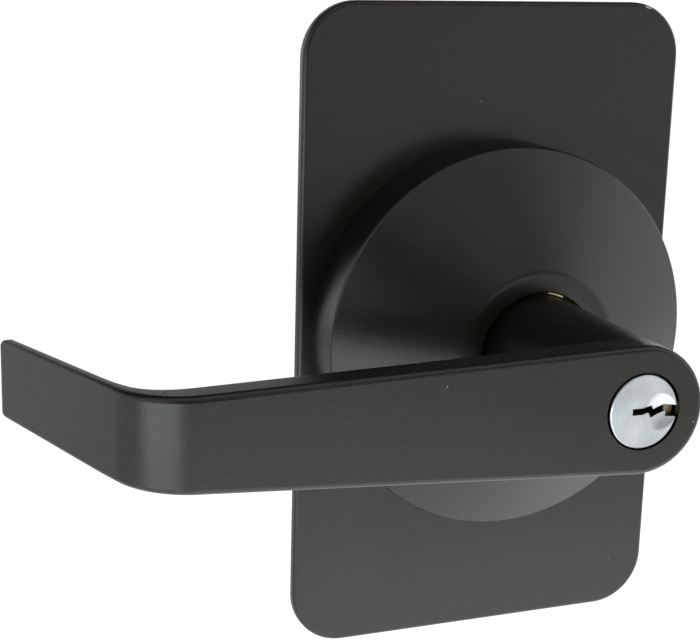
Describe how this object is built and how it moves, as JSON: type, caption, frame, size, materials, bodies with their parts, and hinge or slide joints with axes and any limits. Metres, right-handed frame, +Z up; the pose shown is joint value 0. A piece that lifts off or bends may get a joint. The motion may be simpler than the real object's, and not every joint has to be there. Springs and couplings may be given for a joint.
{
  "type": "door lever trim",
  "caption": "Outside door lever trim: rounded plate, conical rose and a keyed lever with an angled return, whose spindle and clutch turn a tailpiece through the door.",
  "frame": {"origin": "on the lever's turning axis, at the door face, which is the plate's back face", "axes": "+X to the right seen from outside the door, +Y into the door, +Z up; the lever's grip points to -X"},
  "size_m": [0.1646, 0.1324, 0.1524],
  "materials": {
    "dark_bronze": "satin dark bronze powder coat with a fine grain",
    "zinc_plated_steel": "clear zinc plate",
    "yellow_zinc_steel": "yellow zinc plate",
    "zinc_casting": "plain die casting",
    "spring_steel": "bright drawn wire",
    "screw_steel": "zinc plate",
    "brass": "plain machined",
    "satin_nickel": "brass with a satin nickel plated face"
  },
  "bodies": {
    "trim": {"mounting_plate": "dark_bronze", "mounting_posts": "zinc_plated_steel", "rose": "dark_bronze", "rose_bushing": "brass", "rose_snap_ring": "spring_steel", "spring_cage": "zinc_casting", "cage_screws": "screw_steel", "upper_return_spring": "spring_steel", "lower_return_spring": "spring_steel", "chassis_barrel": "zinc_casting", "barrel_screws": "screw_steel", "chassis_cover": "zinc_plated_steel", "cover_screws": "screw_steel"},
    "lever": {"lever_handle": "dark_bronze", "spindle": "yellow_zinc_steel", "spring_driver": "zinc_casting", "thrust_washer": "zinc_plated_steel", "retaining_ring": "spring_steel", "cam_ring": "spring_steel", "cylinder_shell": "brass", "driver_pins": "brass", "pin_springs": "spring_steel", "chamber_cover": "brass", "catch_spring": "spring_steel"},
    "plug": {"key_plug": "satin_nickel", "key_pins": "brass", "plug_clip": "spring_steel", "plug_tailpiece": "zinc_plated_steel", "key_cam": "zinc_casting"},
    "clutch": {"clutch_sleeve": "screw_steel", "cam_pin": "screw_steel"},
    "tail": {"tailpiece_hub": "zinc_casting", "tailpiece": "zinc_plated_steel", "tailpiece_pin": "screw_steel"},
    "catch": {"lever_catch": "screw_steel"}
  },
  "joints": [
    {"name": "lever_turn", "type": "hinge", "parent": "trim", "child": "lever", "pos_m": [0, 0, 0], "axis": [0, -1, 0], "range_deg": [-50, 50], "stiffness_Nm_per_rad": 2, "springref_deg": -3.44, "deforming": ["upper_return_spring", "lower_return_spring"]},
    {"name": "key_turn", "type": "hinge", "parent": "lever", "child": "plug", "pos_m": [0, 0, 0], "axis": [0, -1, 0], "range_deg": [0, 90]},
    {"name": "clutch_slide", "type": "slide", "parent": "lever", "child": "clutch", "axis": [0, -1, 0], "range_m": [0, 0.004]},
    {"name": "tail_turn", "type": "hinge", "parent": "trim", "child": "tail", "pos_m": [0, 0, 0], "axis": [0, -1, 0], "range_deg": [-50, 50]},
    {"name": "catch_press", "type": "slide", "parent": "lever", "child": "catch", "axis": [0, 0, 1], "range_m": [0, 0.0022], "stiffness_N_per_m": 600, "springref_m": -0.001, "deforming": ["catch_spring"]}
  ],
  "couplings": [
    {"joint": "key_turn", "follows": "clutch_slide", "rad_per_m": 392.69},
    {"joint": "tail_turn", "follows": "lever_turn", "ratio": 1}
  ]
}
